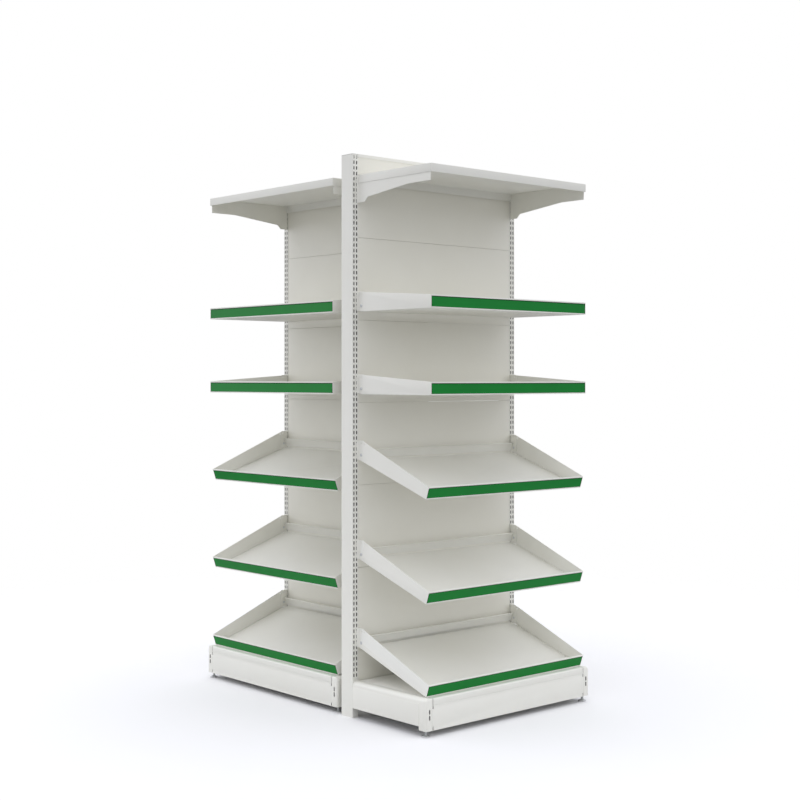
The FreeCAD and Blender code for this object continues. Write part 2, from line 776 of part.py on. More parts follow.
def shifted(x=0, y=0, z=0):
    return FreeCAD.Placement(FreeCAD.Vector(x, y, z), FreeCAD.Rotation())


NODES = []


def place(node, items, placement=None):
    """A named sub-part: its solids as one object with its own label and placement."""
    bundle = group(node, items)
    bundle.Label = node
    bundle.Placement = placement or FreeCAD.Placement()
    NODES.append(bundle)
    return bundle


def spread(node, items, placements):
    """A named sub-part whose pieces are repeated at several places."""
    copies = []
    for index, placement in enumerate(placements, start=1):
        copy = group("%s_set_%d" % (node, index), items)
        copy.Placement = placement
        copies.append(copy)
    return place(node, copies)


def assemble():
    faces = {face: face_placement(face) for face in FACES}
    far = shifted(y=number("bay_width - upright_width"))
    frames = {"end": faces["end"], "run": faces["front"]}

    upright = make_upright()
    posts = [(name + side, placement) for name, frame in frames.items()
             for side, placement in (("_near", frame), ("_far", frame * far))]
    for name, placement in posts:
        place("upright_" + name, [upright], placement)
    spread("upright_caps", [make_upright_cap()], [placement for _, placement in posts])
    spread("cross_rails", make_rails(), frames.values())
    place("run_connectors", make_connectors(), faces["end"])

    panels = make_panels()
    top_shelf = make_top_shelf()
    deck = make_deck()
    kick_plate = make_kick_plate()
    for face, placement in faces.items():
        place("back_panels_" + face, panels, placement)
        place("top_shelf_" + face, [top_shelf], placement)
        place("base_deck_" + face, [deck], placement)
        place("kick_plate_" + face, [kick_plate], placement)
    spread("top_shelf_brackets", both_sides(make_top_bracket()), faces.values())
    leg = group("leg_with_nut_plate", [make_leg(), make_nut_plate()])
    spread("base_legs", both_sides(leg), faces.values())
    spread("base_side_covers", both_sides(make_cover()), faces.values())

    feet = both_sides(make_foot())
    for face, placement in faces.items():
        for side, foot in zip(("near", "far"), feet):
            place("levelling_foot_%s_%s" % (face, side), [foot], placement)

    brackets = both_sides(make_tray_bracket())
    rivets = both_sides(make_pivot_rivet())
    heights = [shifted(z=number(level)) for level in LEVELS]
    stations = [placement * height for placement in faces.values() for height in heights]
    spread("tray_hook_brackets", brackets, stations)
    spread("tray_pivot_rivets", rivets, stations)
    tray = make_tray()
    strip = make_price_strip()
    for face, placement in faces.items():
        for index, level in enumerate(LEVELS, start=1):
            station = placement * tray_placement(level)
            place("shelf_tray_%s_%d" % (face, index), tray, station)
            place("price_strip_%s_%d" % (face, index), [strip], station)


def check_document():
    """Stops if any object failed, or a sub-part has no sound solid."""
    for item in document.Objects:
        bad = {"Invalid", "Error"} & set(item.State)
        if bad:
            raise RuntimeError("%s: %s" % (item.Name, item.State))
    for item in NODES:
        if item.Shape.isNull() or not item.Shape.isValid() or not item.Shape.Solids:
            raise RuntimeError("%s has no valid solid" % item.Label)


assemble()
document.recompute()
check_document()
os.makedirs("parts", exist_ok=True)
for item in NODES:
    item.Shape.exportStep("parts/%s.step" % item.Label)
whole = FreeCAD.BoundBox()
for item in NODES:
    whole.add(item.Shape.BoundBox)
print("%d sub-parts, %d solids" % (len(NODES), sum(len(item.Shape.Solids) for item in NODES)))
print("whole size %.1f x %.1f x %.1f" % (whole.XLength, whole.YLength, whole.ZLength))
print("from (%.1f, %.1f, %.1f)" % (whole.XMin, whole.YMin, whole.ZMin))
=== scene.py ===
"""Gondola shelving unit: finishes, moulded and turned pieces, and a plain studio."""
import json
import math

import bmesh
import bpy
from mathutils import Matrix, Vector


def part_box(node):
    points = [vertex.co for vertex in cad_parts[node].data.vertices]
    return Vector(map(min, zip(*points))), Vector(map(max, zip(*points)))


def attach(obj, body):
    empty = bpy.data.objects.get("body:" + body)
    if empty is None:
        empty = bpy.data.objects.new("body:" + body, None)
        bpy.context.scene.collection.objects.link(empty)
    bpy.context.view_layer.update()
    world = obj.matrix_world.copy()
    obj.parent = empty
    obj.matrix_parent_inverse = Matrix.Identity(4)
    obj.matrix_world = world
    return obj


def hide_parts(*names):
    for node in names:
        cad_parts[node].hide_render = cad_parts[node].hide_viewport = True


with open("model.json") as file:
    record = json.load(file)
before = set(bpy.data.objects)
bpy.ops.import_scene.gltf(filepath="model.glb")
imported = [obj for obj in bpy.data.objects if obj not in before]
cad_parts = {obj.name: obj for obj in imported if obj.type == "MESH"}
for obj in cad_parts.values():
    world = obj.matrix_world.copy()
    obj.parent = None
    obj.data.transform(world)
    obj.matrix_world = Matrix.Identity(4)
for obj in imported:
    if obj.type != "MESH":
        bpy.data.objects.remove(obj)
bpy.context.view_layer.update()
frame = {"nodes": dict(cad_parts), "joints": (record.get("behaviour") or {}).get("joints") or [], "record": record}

bl_info = {
    "name": "Gondola shelving unit",
    "version": (1, 0, 0),
    "blender": (4, 5, 0),
    "location": "View3D > Sidebar > Shelving",
    "description": "Finishes and detailed pieces for a double-sided shelving bay with an end unit",
    "category": "Object",
}

MM = 0.001
FACES = ("end", "front", "rear")
TRAYS = range(1, 6)
SIDES = ("near", "far")
UPRIGHTS = tuple("upright_%s_%s" % (row, side) for row in ("end", "run") for side in SIDES)
PIVOT = Vector((24 * MM, 0, 22 * MM))  # a tray's pivot in its own frame: out, across, up
HALF_BAY = 465 * MM
POST_SKIN = 1.9 * MM  # a little less than the wall of an upright; the painted shade inside a post starts this far in
TURNED = 24  # steps round a turned piece
# a darker colour mixed in patches near the floor
NEAR_FLOOR_DARK = 0x8C8A82
SHEET_PIECES = ("shelf_tray", "top_shelf_end", "top_shelf_front", "top_shelf_rear", "base_deck",
                "kick_plate", "base_side_covers", "base_legs")
JOINTS = {joint["name"]: joint for joint in frame["joints"]}

# how the meshes are merged, rounded and shaded
WELD = 0.002 * MM  # a CAD node's corners nearer than this are one corner
SLIVER = 0.005 * MM  # a rounded piece's edges shorter than this are closed up
TOUCH = 0.01 * MM  # points of a new piece nearer than this are one point
FLAT = math.radians(0.5)  # faces that turn less than this are one face
FOLDED = math.radians(50)  # an edge that turns more than this is a fold or a sheared edge
SQUARE = math.radians(60)  # an edge that turns more than this is a cap's corner
SMOOTH = math.radians(32)  # an edge that turns less than this is shaded smooth
SHORTEST = 2.5  # in fold radii: a shorter edge stays sharp
NARROW = 1.1  # in fold radii: a narrower face is part of a rounding
ROUND_STEPS, CORNER_STEPS, CROWN_STEPS = 2, 4, 3

# sections of the new pieces, in millimetres
STRIP_BACK, STRIP_FACE = 432.2, 433.6  # out from the upright
STRIP_LOW, STRIP_HIGH = 1.6, 48.4  # up from the tray's underside
LIPS_LOW, LIPS_HIGH = 4.4, 44.6  # where the tray's two lips leave the strip in view
STRIP_INSET = 26.9
BEAD_SLOPE = 0.4
CAP_CORNER = 2
CAP_WALL = 2.3  # the tube's wall and the plug's clearance in it
PLUG_LENGTH = 14
RIVET_HEAD = 22.5  # from the bay's edge to the head's crown
# (radius, along) pairs from the head's crown, which is dimpled by the setting tool, to the tail
RIVET_PROFILE = ((0, 0.9), (1.4, 0.7), (2.2, 0.2), (3.4, 0.05), (5.0, 0.5), (6.1, 1.2), (6.5, 1.9),
                 (6.5, 2.2), (4.0, 2.2), (4.0, 6.5), (5.5, 6.5), (5.5, 7.1), (4.6, 7.6), (0, 7.7))
# (radius, height) pairs of a foot's plated flange and cone, and of the pad pressed on below it
CONE_PROFILE = ((0, 3.2), (14.2, 3.2), (14.2, 4.6), (9.2, 8.6), (7.4, 9.4), (5.0, 10.2))
PAD_PROFILE = ((0, 0), (15.6, 0), (16.6, 0.5), (17.0, 1.4), (17.0, 3.0), (16.2, 4.0), (14.3, 4.3),
               (14.3, 3.1), (0, 3.1))
THREAD_START, THREAD_ROOT, THREAD_CREST, THREAD_TIP = 11, 4.4, 5.0, 4.0


def linear(value):
    """An sRGB hex colour as linear red, green, blue and alpha."""
    parts = [(value >> shift & 255) / 255 for shift in (16, 8, 0)]
    return tuple(p / 12.92 if p <= 0.04045 else ((p + 0.055) / 1.055) ** 2.4
                 for p in parts) + (1.0,)


def colour_prop(name, value, description):
    return bpy.props.FloatVectorProperty(name=name, description=description, subtype="COLOR",
                                         size=4, min=0, max=1, default=linear(value))


def length_prop(name, value, description):
    return bpy.props.FloatProperty(name=name, description=description, default=value,
                                   unit="LENGTH", precision=4)


class ShelvingFinishes(bpy.types.PropertyGroup):
    coat: colour_prop("Powder coat", 0xF0EFE7, "Body of the powder coat")
    # the lighter end of the coat's random tone drift, and also the painted highlight on the folds' roundings
    coat_thin_and_highlight: colour_prop("Powder coat, thin", 0xF5F5EF, "Coat where it is thinner, on folds")
    # the back panels carry the same powder coat; this copy of it is a little warmer, as painted shade
    panel: colour_prop("Panel coat", 0xEFEDE2, "Coat of the back panels")
    panel_shaded_coat_light: colour_prop("Panel coat, thin", 0xF4F3EA, "Panel coat where it is thinner")
    # a near-black colour for the inside of the posts: painted shade of the closed tubes seen through the slots, on
    # steel partly bare there
    inside: colour_prop("Bare inside", 0x242421, "Unpainted steel seen through a slot")
    strip: colour_prop("Strip", 0x118332, "Body of the green price strip")
    # a darker green along the strip's ends and beads: painted shade from the lips and the side plates
    strip_edge_shade: colour_prop("Strip rim", 0x0B4A1E, "Rolled edge of the green price strip")
    cap: colour_prop("Cap", 0xD6D6CF, "Moulded upright caps")
    zinc: colour_prop("Zinc plate", 0xE2E4E5, "Feet, rivets and nuts")
    zinc_dark: colour_prop("Zinc plate, dull", 0xC6C9CB, "Crystals of the zinc that face away")
    pad: colour_prop("Foot pad", 0xDDDDDD, "Moulded pad under a foot")
    floor: colour_prop("Floor", 0xFCFCFD, "Studio floor")
    bounce: colour_prop("Floor bounce", 0xDCDCDC, "Colour of the light that the floor sends back")


class ShelvingSizes(bpy.types.PropertyGroup):
    fold: length_prop("Fold radius", 0.35 * MM, "Rounding of the folded and sheared edges")
    cap_round: length_prop("Cap rounding", 1.1 * MM, "Rounding of a cap's upper edge")
    strip_bead: length_prop("Strip bead", 3.2 * MM, "Height of the beads along a price strip")
    strip_proud: length_prop("Strip bead depth", 0.5 * MM, "How far the beads stand out")
    thread: length_prop("Thread pitch", 1.5 * MM, "Pitch of the feet's thread")


class ShelvingStudio(bpy.types.PropertyGroup):
    lens: bpy.props.FloatProperty(name="Lens", description="Focal length on a 36 mm sensor",
                                  default=62.73, unit="CAMERA")
    eye: bpy.props.FloatVectorProperty(name="Camera place", description="Where the camera stands",
                                       default=(4.5703, -4.0111, 1.3518), subtype="TRANSLATION")
    heading: bpy.props.FloatProperty(name="Heading", description="Turn of the camera about Z",
                                     default=math.radians(48.374), subtype="ANGLE")
    rise: bpy.props.FloatProperty(name="Vertical shift", description="Framing of the level camera",
                                  default=-0.0266)
    light: colour_prop("Light", 0xF9FAFF, "Colour of all the studio's light")
    sky: bpy.props.FloatProperty(name="Dome", description="Even light from all round",
                                 default=0.86, min=0)
    overhead: bpy.props.FloatProperty(name="Overhead", description="Added light from above",
                                      default=0.44, min=0)
    below: bpy.props.FloatProperty(name="Below", description="Light from under the horizon",
                                   default=0.3, min=0)
    corner: bpy.props.FloatProperty(name="Corner softbox", description="Softbox at the run's end",
                                    default=28.0, unit="POWER", min=0)
    left: bpy.props.FloatProperty(name="Left softbox", description="Softbox on the run's side",
                                  default=5.0, unit="POWER", min=0)
    right: bpy.props.FloatProperty(name="Right softbox", description="Softbox on the end's side",
                                   default=16.0, unit="POWER", min=0)


# ---------------------------------------------------------------- materials

def blank(name):
    """A new material with an empty node tree."""
    material = bpy.data.materials.new(name)
    material.use_nodes = True
    material.node_tree.nodes.clear()
    return material, material.node_tree


def node(tree, kind, settings=None, **inputs):
    """Adds a node; each input is a value, or an output to link, under the socket's name."""
    made = tree.nodes.new(kind)
    for key, value in (settings or {}).items():
        setattr(made, key, value)
    for key, value in inputs.items():
        socket = made.inputs[int(key[1:])] if key[1:].isdigit() else made.inputs[
            key.replace("_", " ")]
        if isinstance(value, bpy.types.NodeSocket):
            tree.links.new(value, socket)
        else:
            socket.default_value = value
    return made


def coat_material(name, body, thin_and_highlight, shaded_bore=None):
    """Polyester powder coat on folded steel, oven cured: a soft satin with fine orange peel.

    shaded_bore is the (centre, half sizes) of a tube's inside, which takes the dark inside colour: painted shade
    of the closed tube, on steel that is partly bare there."""
    material, tree = blank(name)
    place = node(tree, "ShaderNodeTexCoord").outputs["Object"]
    # the coat's thickness drifts over a hand's breadth, which shows as a faint change of tone
    drift = node(tree, "ShaderNodeTexNoise", Vector=place, Scale=1 / 0.18, Detail=3.0,
                 Roughness=0.55)
    fine = node(tree, "ShaderNodeTexNoise", Vector=place, Scale=1 / 0.012, Detail=2.0)
    tone = node(tree, "ShaderNodeMapRange", Value=drift.outputs["Fac"], From_Min=0.3,
                From_Max=0.7, To_Min=0.0, To_Max=0.35)
    grain = node(tree, "ShaderNodeMath", {"operation": "MULTIPLY"}, i0=fine.outputs["Fac"],
                 i1=0.12)
    amount = node(tree, "ShaderNodeMath", {"operation": "ADD"}, i0=tone.outputs["Result"],
                  i1=grain.outputs[0])
    # painted highlight: faces marked "fold", the roundings of folds and sheared edges, take the full lighter coat
    # colour, so the edges show light lines
    fold = node(tree, "ShaderNodeAttribute", {"attribute_name": "fold"})
    thin_and_highlight_amount = node(tree, "ShaderNodeMath", {"operation": "MAXIMUM"}, i0=amount.outputs[0],
                    i1=fold.outputs["Fac"])
    colour = node(tree, "ShaderNodeMix", {"data_type": "RGBA"}, i0=thin_and_highlight_amount.outputs[0],
                  i6=body, i7=thin_and_highlight)
    # the colour is darker in patches within about 120 mm of the floor
    height = node(tree, "ShaderNodeSeparateXYZ", Vector=place)
    low = node(tree, "ShaderNodeMapRange", Value=height.outputs["Z"], From_Min=0.0,
               From_Max=0.12, To_Min=1.0, To_Max=0.0)
    floor_patches = node(tree, "ShaderNodeTexNoise", Vector=place, Scale=1 / 0.03, Detail=5.0,
                 Roughness=0.7)
    near_floor_amount = node(tree, "ShaderNodeMath", {"operation": "MULTIPLY"}, i0=low.outputs["Result"],
                i1=floor_patches.outputs["Fac"])
    faint = node(tree, "ShaderNodeMath", {"operation": "MULTIPLY"}, i0=near_floor_amount.outputs[0], i1=0.10)
    near_floor_darkened = node(tree, "ShaderNodeMix", {"data_type": "RGBA"}, i0=faint.outputs[0],
                i6=colour.outputs[2], i7=linear(NEAR_FLOOR_DARK))
    # painted shade: inside a post, and on faces marked bare_and_shade, the coat takes the dark inside colour, for
    # the shade in the tube seen through a slot; little powder reaches there, so the steel is partly bare
    steel = bpy.context.scene.shelving_finishes.inside
    bare_and_shade = node(tree, "ShaderNodeAttribute", {"attribute_name": "bare_and_shade"})
    base = node(tree, "ShaderNodeMix", {"data_type": "RGBA"}, i0=bare_and_shade.outputs["Fac"],
                i6=near_floor_darkened.outputs[2], i7=steel).outputs[2]
    if shaded_bore:
        centre, half = shaded_bore
        offset = node(tree, "ShaderNodeVectorMath", {"operation": "SUBTRACT"}, i0=place,
                      i1=centre)
        within = node(tree, "ShaderNodeVectorMath", {"operation": "ABSOLUTE"},
                      i0=offset.outputs[0])
        share = node(tree, "ShaderNodeSeparateXYZ", Vector=within.outputs[0])
        across = node(tree, "ShaderNodeMath", {"operation": "LESS_THAN"},
                      i0=share.outputs["X"], i1=half[0])
        deep = node(tree, "ShaderNodeMath", {"operation": "LESS_THAN"},
                    i0=share.outputs["Y"], i1=half[1])
        inside = node(tree, "ShaderNodeMath", {"operation": "MULTIPLY"}, i0=across.outputs[0],
                      i1=deep.outputs[0])
        base = node(tree, "ShaderNodeMix", {"data_type": "RGBA"}, i0=inside.outputs[0],
                    i6=base, i7=steel).outputs[2]
    gloss = node(tree, "ShaderNodeMapRange", Value=fine.outputs["Fac"], From_Min=0.3,
                 From_Max=0.7, To_Min=0.36, To_Max=0.46)
    # real orange peel has cells of about 1.5 mm; 7 mm is the finest that shows at this distance
    peel = node(tree, "ShaderNodeTexNoise", Vector=place, Scale=1 / 0.007, Detail=1.0)
    bump = node(tree, "ShaderNodeBump", Strength=0.12, Distance=0.0004,
                Height=peel.outputs["Fac"])
    shader = node(tree, "ShaderNodeBsdfPrincipled", Base_Color=base,
                  Roughness=gloss.outputs["Result"], IOR=1.5, Normal=bump.outputs["Normal"])
    node(tree, "ShaderNodeOutputMaterial", Surface=shader.outputs["BSDF"])
    return material


def strip_material(name, body, edge_shade):
    """Extruded rigid PVC, coloured through: an even gloss with faint draw lines along it."""
    material, tree = blank(name)
    place = node(tree, "ShaderNodeTexCoord").outputs["Object"]
    # painted shade: faces marked edge_shade take the darker green
    edge = node(tree, "ShaderNodeAttribute", {"attribute_name": "edge_shade"})
    cloud = node(tree, "ShaderNodeTexNoise", Vector=place, Scale=1 / 0.15, Detail=2.0)
    shade = node(tree, "ShaderNodeMapRange", Value=cloud.outputs["Fac"], From_Min=0.3,
                 From_Max=0.7, To_Min=0.0, To_Max=0.15)
    amount = node(tree, "ShaderNodeMath", {"operation": "MAXIMUM"}, i0=shade.outputs["Result"],
                  i1=edge.outputs["Fac"])
    colour = node(tree, "ShaderNodeMix", {"data_type": "RGBA"}, i0=amount.outputs[0],
                  i6=body, i7=edge_shade)
    # draw lines from the die, about 2 mm apart up the strip
    lines = node(tree, "ShaderNodeMapping", Vector=place, Scale=(1.0, 1.0, 500.0))
    draw = node(tree, "ShaderNodeTexNoise", Vector=lines.outputs["Vector"], Scale=1.0,
                Detail=1.0)
    gloss = node(tree, "ShaderNodeMapRange", Value=draw.outputs["Fac"], From_Min=0.3,
                 From_Max=0.7, To_Min=0.3, To_Max=0.38)
    bump = node(tree, "ShaderNodeBump", Strength=0.05, Distance=0.0002,
                Height=draw.outputs["Fac"])
    shader = node(tree, "ShaderNodeBsdfPrincipled", Base_Color=colour.outputs[2],
                  Roughness=gloss.outputs["Result"], IOR=1.53, Specular_IOR_Level=0.13,
                  Normal=bump.outputs["Normal"])
    node(tree, "ShaderNodeOutputMaterial", Surface=shader.outputs["BSDF"])
    return material


def moulded_material(name, body, roughness):
    """Injection-moulded plastic with a spark-eroded texture: matt, with a fine even grain."""
    material, tree = blank(name)
    place = node(tree, "ShaderNodeTexCoord").outputs["Object"]
    # the mould's grain is about 0.2 mm; 1.5 mm is drawn so that it shows
    grain = node(tree, "ShaderNodeTexNoise", Vector=place, Scale=1 / 0.0015, Detail=2.0)
    darker = tuple(part * 0.82 for part in body[:3]) + (1.0,)
    colour = node(tree, "ShaderNodeMix", {"data_type": "RGBA"}, i0=grain.outputs["Fac"],
                  i6=body, i7=darker)
    gloss = node(tree, "ShaderNodeMapRange", Value=grain.outputs["Fac"], From_Min=0.3,
                 From_Max=0.7, To_Min=roughness - 0.05, To_Max=roughness + 0.05)
    bump = node(tree, "ShaderNodeBump", Strength=0.2, Distance=0.0001,
                Height=grain.outputs["Fac"])
    shader = node(tree, "ShaderNodeBsdfPrincipled", Base_Color=colour.outputs[2],
                  Roughness=gloss.outputs["Result"], IOR=1.5, Normal=bump.outputs["Normal"])
    node(tree, "ShaderNodeOutputMaterial", Surface=shader.outputs["BSDF"])
    return material


def zinc_material(name, bright, dull):
    """Bright zinc plate on turned steel: a cool metal with small crystals and a soft blur."""
    material, tree = blank(name)
    place = node(tree, "ShaderNodeTexCoord").outputs["Object"]
    # crystals of about 2 mm
    crystals = node(tree, "ShaderNodeTexVoronoi", Vector=place, Scale=1 / 0.002)
    facet = node(tree, "ShaderNodeSeparateColor", Color=crystals.outputs["Color"])
    share = node(tree, "ShaderNodeMath", {"operation": "MULTIPLY"}, i0=facet.outputs[0], i1=0.6)
    colour = node(tree, "ShaderNodeMix", {"data_type": "RGBA"}, i0=share.outputs[0],
                  i6=bright, i7=dull)
    gloss = node(tree, "ShaderNodeMapRange", Value=facet.outputs[1], From_Min=0.0,
                 From_Max=1.0, To_Min=0.28, To_Max=0.42)
    bump = node(tree, "ShaderNodeBump", Strength=0.1, Distance=0.0001,
                Height=crystals.outputs["Distance"])
    shader = node(tree, "ShaderNodeBsdfPrincipled", Base_Color=colour.outputs[2], Metallic=1.0,
                  Roughness=gloss.outputs["Result"], Normal=bump.outputs["Normal"])
    node(tree, "ShaderNodeOutputMaterial", Surface=shader.outputs["BSDF"])
    return material


def floor_material(finishes):
    """Matt painted studio floor, which gives way to the even white backdrop further out."""
    material, tree = blank("matt_studio_paint")
    place = node(tree, "ShaderNodeTexCoord").outputs["Object"]
    out = node(tree, "ShaderNodeVectorMath", {"operation": "LENGTH"}, i0=place)
    far = node(tree, "ShaderNodeMapRange", {"interpolation_type": "SMOOTHSTEP"},
               Value=out.outputs["Value"], From_Min=1.1, From_Max=4.0)
    # the floor is lit up to white, but sends less light back than a white floor would
    seen = node(tree, "ShaderNodeLightPath")
    colour = node(tree, "ShaderNodeMix", {"data_type": "RGBA"}, i0=seen.outputs["Is Camera Ray"],
                  i6=finishes.bounce, i7=finishes.floor)
    paint = node(tree, "ShaderNodeBsdfDiffuse", Color=colour.outputs[2])
    clear = node(tree, "ShaderNodeBsdfTransparent")
    mix = node(tree, "ShaderNodeMixShader", i0=far.outputs["Result"], i1=paint.outputs[0],
               i2=clear.outputs[0])
    node(tree, "ShaderNodeOutputMaterial", Surface=mix.outputs[0])
    return material


# each finish under its slot in the record; the pads have a finish of their own
MADE = {}
FINISH = {
    "powder_coat": lambda f: coat_material("powder_coated_steel", f.coat, f.coat_thin_and_highlight),
    "panel_coat": lambda f: coat_material("powder_coated_panel_steel", f.panel, f.panel_shaded_coat_light),
    "strip_plastic": lambda f: strip_material("extruded_pvc_green", f.strip, f.strip_edge_shade),
    "cap_plastic": lambda f: moulded_material("moulded_abs_grey", f.cap, 0.5),
    "zinc": lambda f: zinc_material("zinc_plated_steel", f.zinc, f.zinc_dark),
    "pad_plastic": lambda f: moulded_material("moulded_nylon_pad", f.pad, 0.55),
}


def finish(slot):
    """The material of a slot, made the first time that it is asked for."""
    if slot not in MADE:
        MADE[slot] = FINISH[slot](bpy.context.scene.shelving_finishes)
    return MADE[slot]


# ---------------------------------------------------------------- shapes

def add_piece(name, mesh, slot, body, replaced=(), outwards=False):
    """Makes a bmesh a piece of the unit, with its finish, on its body.

    outwards says that the faces already look outwards, as a CAD node's do."""
    if not outwards:
        bmesh.ops.recalc_face_normals(mesh, faces=mesh.faces)
    data = bpy.data.meshes.new(name)
    mesh.to_mesh(data)
    mesh.free()
    data.shade_smooth()
    data.set_sharp_from_angle(angle=SMOOTH)
    piece = bpy.data.objects.new(name, data)
    bpy.context.scene.collection.objects.link(piece)
    data.materials.append(finish(slot))
    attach(piece, body)
    if replaced:
        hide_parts(*replaced)


def bevelled(mesh, edges, offset, segments):
    """Rounds edges of a mesh."""
    bmesh.ops.bevel(mesh, geom=edges, offset=offset, offset_type="OFFSET",
                    affect="EDGES", segments=segments, profile=0.5, material=-1,
                    clamp_overlap=True)


def facing(face):
    """The way that a face looks, rounded so that it can be compared."""
    return tuple(round(part, 6) for part in face.normal)


def mark(mesh, layer, test):
    """Sets a face attribute to one on the faces whose middle passes a test."""
    values = mesh.faces.layers.float.new(layer)
    for face in mesh.faces:
        face[values] = float(test(face.calc_center_median()))


def swept(outline, low, high):
    """A bar whose (x, z) outline runs along y."""
    mesh = bmesh.new()
    corners = [mesh.verts.new((x, low, z)) for x, z in outline]
    end = mesh.faces.new(corners)
    grown = bmesh.ops.extrude_face_region(mesh, geom=[end])
    moved = [item for item in grown["geom"] if isinstance(item, bmesh.types.BMVert)]
    bmesh.ops.translate(mesh, verts=moved, vec=(0, high - low, 0))
    return mesh


def turned(mesh, profile, axis):
    """Turns (radius, along) pairs in millimetres about an axis, ends closed at the axis."""
    axis = Vector(axis)
    points = [mesh.verts.new((Vector((radius, 0, 0)) + axis * along) * MM)
              for radius, along in profile]
    edges = [mesh.edges.new(pair) for pair in zip(points, points[1:])]
    bmesh.ops.spin(mesh, geom=points + edges, axis=axis, angle=math.tau, steps=TURNED,
                   use_merge=True, use_normal_flip=False, use_duplicate=False)
    bmesh.ops.remove_doubles(mesh, verts=mesh.verts, dist=TOUCH)


def tray_frame(face, index):
    """The place of a tray's own frame, from its hinge: x outwards, y across, z up."""
    joint = JOINTS["tilt_%s_%d" % (face, index)]
    axis = Vector(joint["axis"])
    rest = math.radians(-min(joint["range_deg"]))
    outwards = Matrix.Rotation(math.atan2(-axis.x, axis.y), 4, "Z")
    return (Matrix.Translation(joint["pos_m"]) @ Matrix.Rotation(rest, 4, axis) @ outwards
            @ Matrix.Translation(-PIVOT))


def station_frame(face, index):
    """The place of a tray's fixed brackets: as tray_frame, without the tilt."""
    joint = JOINTS["tilt_%s_%d" % (face, index)]
    axis = Vector(joint["axis"])
    outwards = Matrix.Rotation(math.atan2(-axis.x, axis.y), 4, "Z")
    return Matrix.Translation(joint["pos_m"]) @ outwards @ Matrix.Translation(-PIVOT)


def mark_post_inside_shade(mesh):
    """Sets "bare_and_shade" on the faces of the base's posts that look towards the foot's stem, which the coat
    paints dark as painted shade inside the posts.
    """
    low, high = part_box("base_legs")
    stems = []
    for face in FACES:
        for side in SIDES:
            near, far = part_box("levelling_foot_%s_%s" % (face, side))
            stems.append(Vector(((near.x + far.x) / 2, (near.y + far.y) / 2, (low.z + high.z) / 2)))
    values = mesh.faces.layers.float.new("bare_and_shade")
    for face in mesh.faces:
        middle = face.calc_center_median()
        stem = min(stems, key=lambda place: (place - middle).xy.length)
        face[values] = float((stem - middle).dot(face.normal) > 0)


# ---------------------------------------------------------------- operators

class SHELVING_OT_sheet_metal(bpy.types.Operator):
    """Rounds the folded and sheared edges of the trays, shelves, decks and base"""

    bl_idname = "shelving.sheet_metal"
    bl_label = "Folded sheet pieces"

    def execute(self, context):
        radius = context.scene.shelving_sizes.fold
        bodies = frame["record"]["behaviour"]["bodies"]
        for body, members in bodies.items():
            for name in members:
                if not name.startswith(SHEET_PIECES):
                    continue
                mesh = bmesh.new()
                mesh.from_mesh(frame["nodes"][name].data)
                bmesh.ops.remove_doubles(mesh, verts=mesh.verts, dist=WELD)
                bmesh.ops.dissolve_limit(mesh, angle_limit=FLAT, verts=mesh.verts,
                                         edges=mesh.edges, delimit=set())
                sharp = [edge for edge in mesh.edges if edge.is_manifold
                         and edge.calc_face_angle(0) > FOLDED
                         and edge.calc_length() > SHORTEST * radius]
                ways = {facing(face) for face in mesh.faces}
                bevelled(mesh, sharp, radius, ROUND_STEPS)
                bmesh.ops.dissolve_degenerate(mesh, dist=SLIVER, edges=mesh.edges)
                bmesh.ops.remove_doubles(mesh, verts=mesh.verts, dist=SLIVER)
                mesh.normal_update()
                # a rounding's faces are slim and look another way than the sheet's own do; they are marked "fold"
                # for the painted highlight along the edges
                fold_highlights = mesh.faces.layers.float.new("fold")
                for face in mesh.faces:
                    slim = min(edge.calc_length() for edge in face.edges) < NARROW * radius
                    face[fold_highlights] = float(slim and facing(face) not in ways)
                # painted shade inside the base's posts, seen through their slots
                if name == "base_legs":
                    mark_post_inside_shade(mesh)
                add_piece(name + "_folded", mesh, "powder_coat", body, [name], True)
        return {"FINISHED"}


class SHELVING_OT_price_strips(bpy.types.Operator):
    """Makes the green price strips in the trays' front channels"""

    bl_idname = "shelving.price_strips"
    bl_label = "Price strips"

    def execute(self, context):
        sizes = context.scene.shelving_sizes
        back, face = STRIP_BACK * MM, STRIP_FACE * MM
        low, high = STRIP_LOW * MM, STRIP_HIGH * MM
        lip_low, lip_high = LIPS_LOW * MM, LIPS_HIGH * MM
        slope = BEAD_SLOPE * MM
        front = face + sizes.strip_proud
        bead = sizes.strip_bead
        end = HALF_BAY - STRIP_INSET * MM
        outline = [
            (back, low), (face, low), (face, lip_low), (front, lip_low + slope),
            (front, lip_low + bead - slope), (face, lip_low + bead),
            (face, lip_high - bead), (front, lip_high - bead + slope),
            (front, lip_high - slope), (face, lip_high), (face, high), (back, high),
        ]
        for side in FACES:
            for index in TRAYS:
                mesh = swept(outline, -end, end)
                for stop in (-end + bead, end - bead):
                    bmesh.ops.bisect_plane(mesh, geom=mesh.verts[:] + mesh.edges[:]
                                           + mesh.faces[:], plane_co=(0, stop, 0),
                                           plane_no=(0, 1, 0))
                # painted shade on the ends, the top bead and the band under the lower lip, where the lips and
                # plates shade the strip
                mark(mesh, "edge_shade", lambda at: abs(at.y) > end - bead
                     or at.z > lip_high - bead or at.z < lip_low + slope)
                mesh.transform(tray_frame(side, index))
                name = "price_strip_%s_%d" % (side, index)
                add_piece(name + "_channel", mesh, "strip_plastic",
                          "tray_%s_%d" % (side, index), [name])
        return {"FINISHED"}


